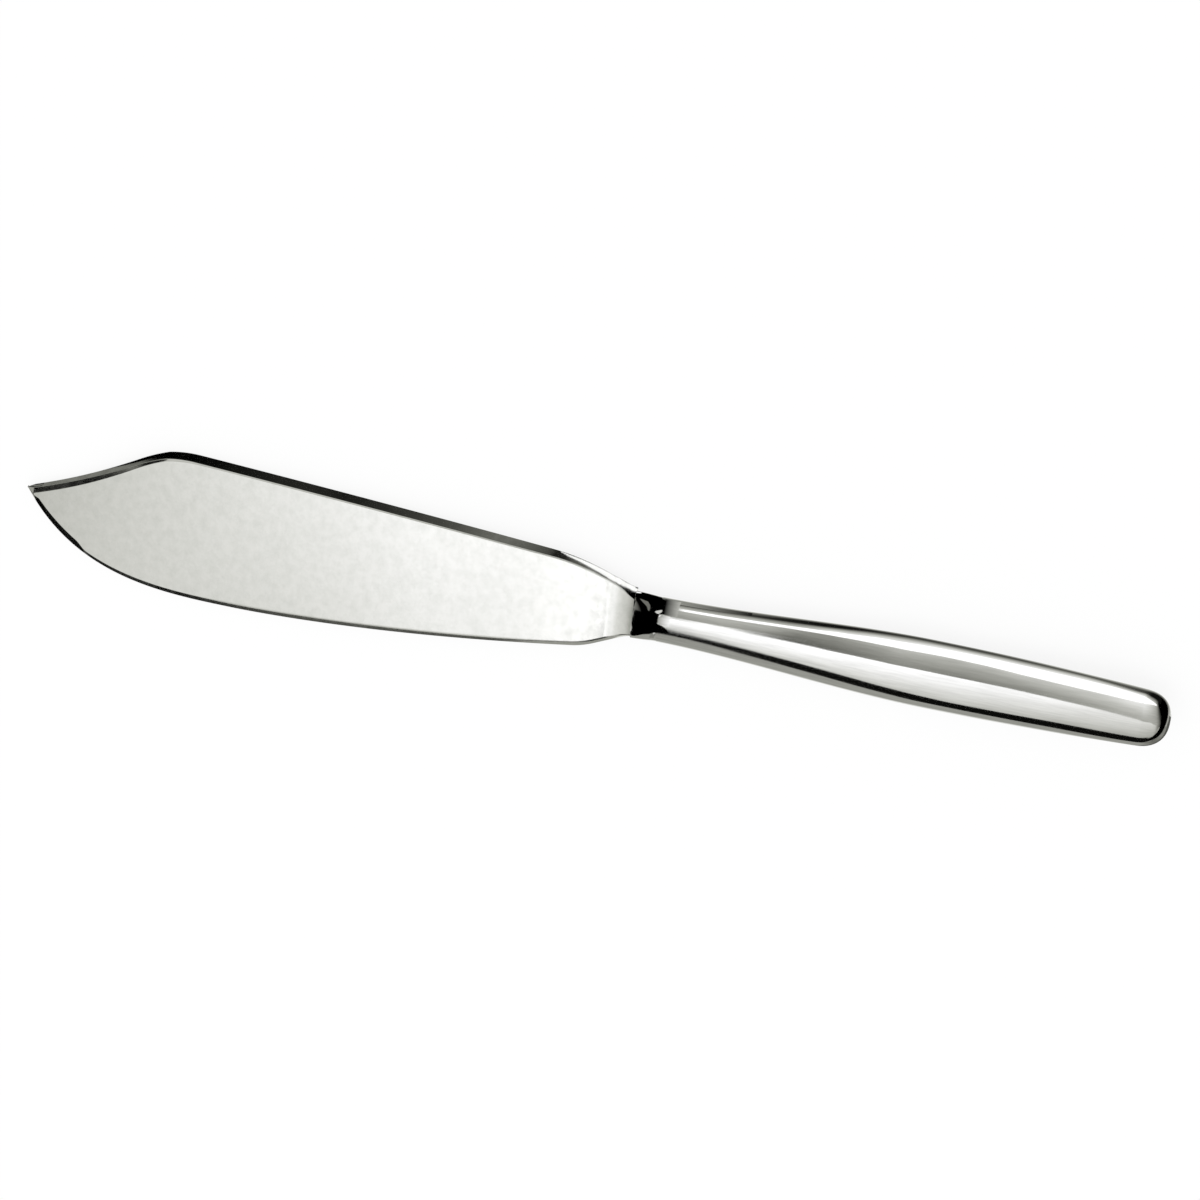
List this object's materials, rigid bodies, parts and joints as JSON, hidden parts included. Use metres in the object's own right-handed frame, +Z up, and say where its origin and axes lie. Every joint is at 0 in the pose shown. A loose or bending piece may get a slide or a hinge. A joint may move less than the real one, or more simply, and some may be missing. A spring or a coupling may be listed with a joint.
{
  "type": "cake knife",
  "caption": "Polished metal cake knife with a broad clipped wedge blade, a waisted bolster and a smooth oval hollow handle, for cutting and lifting slices.",
  "frame": {"origin": "bottom centre of the box round the knife as it lies on its side on a table, on the belly of the handle and the tip of the blade", "axes": "+X along the knife from the tip to the butt, +Y across it towards the spine, +Z up, out of the blade's front face"},
  "size_m": [0.2698, 0.0392, 0.0105],
  "materials": {
    "blade_steel": "buffed mirror polish with fine hairline scratches and faint smudges",
    "bolster_steel": "mirror polish",
    "handle_steel": "mirror polish with fine lengthwise polishing lines",
    "braze": "polished flush with the shells",
    "cement": "matt hard cement"
  },
  "bodies": {
    "root": {"blade": "blade_steel", "bolster": "bolster_steel", "handle_front_shell": "handle_steel", "handle_back_shell": "handle_steel", "seam_braze": "braze", "mouth_braze": "braze", "tang_cement": "cement"}
  },
  "joints": []
}
